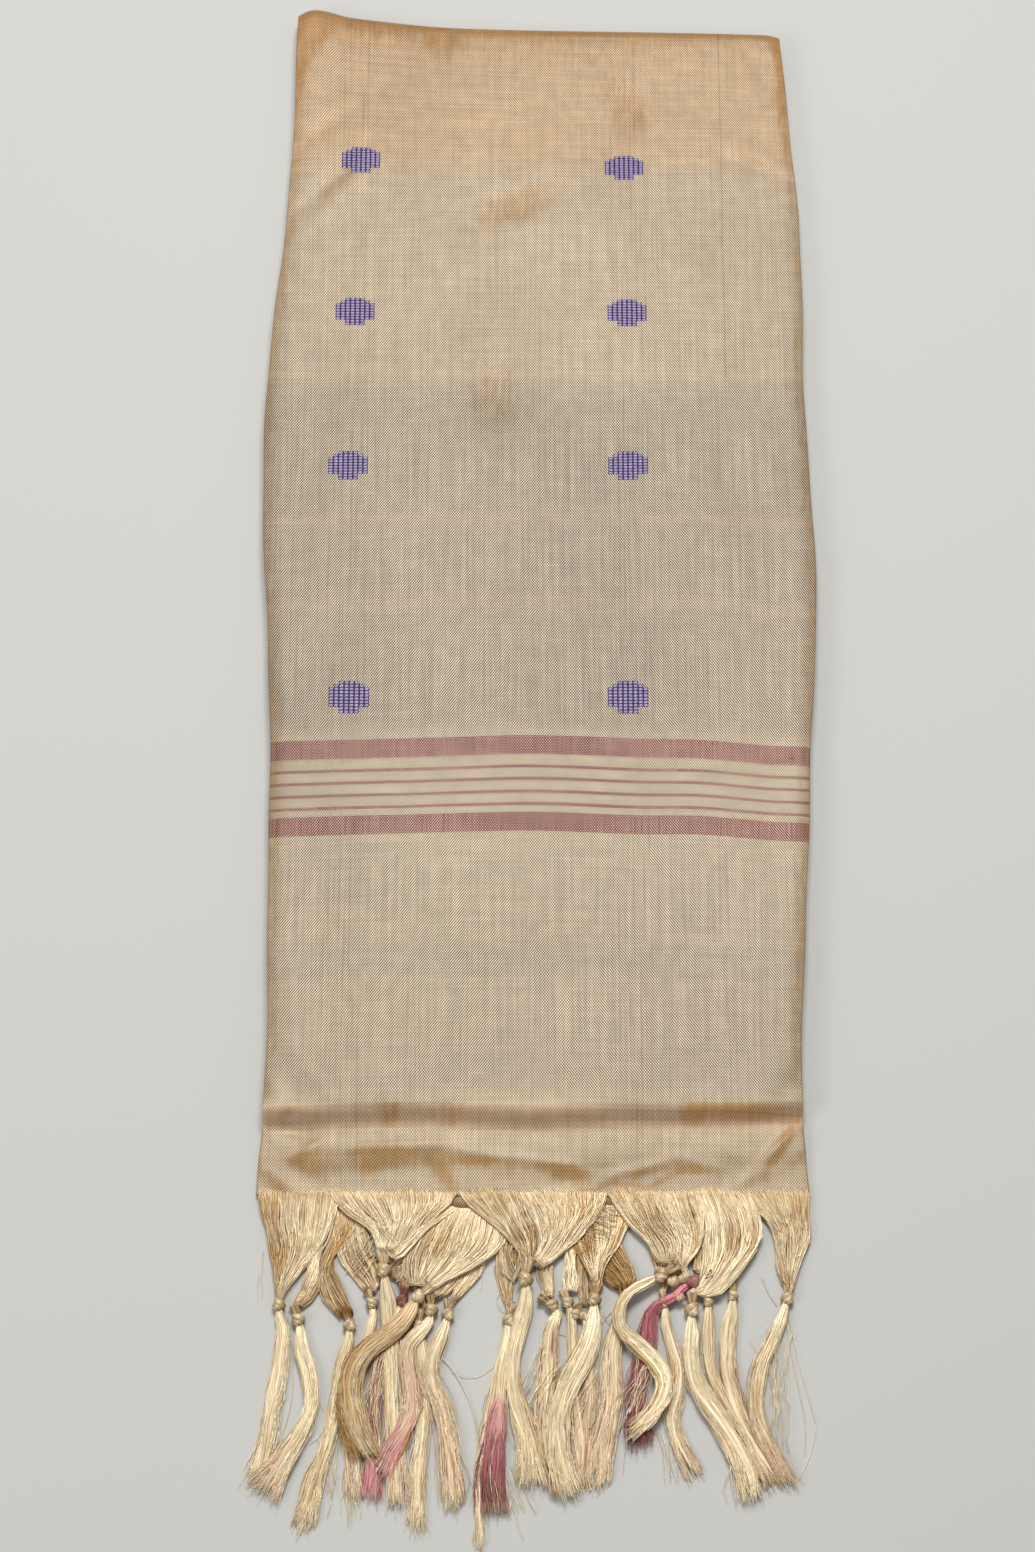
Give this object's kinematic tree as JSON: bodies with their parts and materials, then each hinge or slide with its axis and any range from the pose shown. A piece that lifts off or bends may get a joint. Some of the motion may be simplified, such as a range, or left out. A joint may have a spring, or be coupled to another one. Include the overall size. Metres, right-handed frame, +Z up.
{
  "type": "folded saree",
  "caption": "Plain-woven saree folded into a long flat strip, with a striped border band and woven dots on its show end and a knotted tassel fringe.",
  "frame": {"origin": "on the surface the folded saree lies on, under the middle of its overall box", "axes": "+X across the strip, +Y along it from the tassels towards the far fold, +Z up"},
  "size_m": [0.3166, 0.9222, 0.0158],
  "materials": {
    "pallu_cloth": "beige plain weave with a soft golden sheen, maroon weft band and violet woven dots",
    "folded_cloth": "beige plain weave with a soft golden sheen",
    "fringe_yarn": "lustrous cream warp yarn, some ends dyed maroon or pink"
  },
  "bodies": {
    "root": {"top_stretch": "pallu_cloth", "under_stretch": "folded_cloth", "folded_layers": "folded_cloth", "inner_plies": "folded_cloth", "tassel_01": "fringe_yarn", "tassel_02": "fringe_yarn", "tassel_03": "fringe_yarn", "tassel_04": "fringe_yarn", "tassel_05": "fringe_yarn", "tassel_06": "fringe_yarn", "tassel_07": "fringe_yarn", "tassel_08": "fringe_yarn", "tassel_09": "fringe_yarn", "tassel_10": "fringe_yarn", "tassel_11": "fringe_yarn", "tassel_12": "fringe_yarn", "tassel_13": "fringe_yarn", "tassel_14": "fringe_yarn", "tassel_15": "fringe_yarn", "tassel_16": "fringe_yarn", "tassel_17": "fringe_yarn", "tassel_18": "fringe_yarn", "tassel_19": "fringe_yarn", "tassel_20": "fringe_yarn", "tassel_21": "fringe_yarn", "tassel_22": "fringe_yarn", "tassel_23": "fringe_yarn", "tassel_24": "fringe_yarn"}
  },
  "joints": []
}
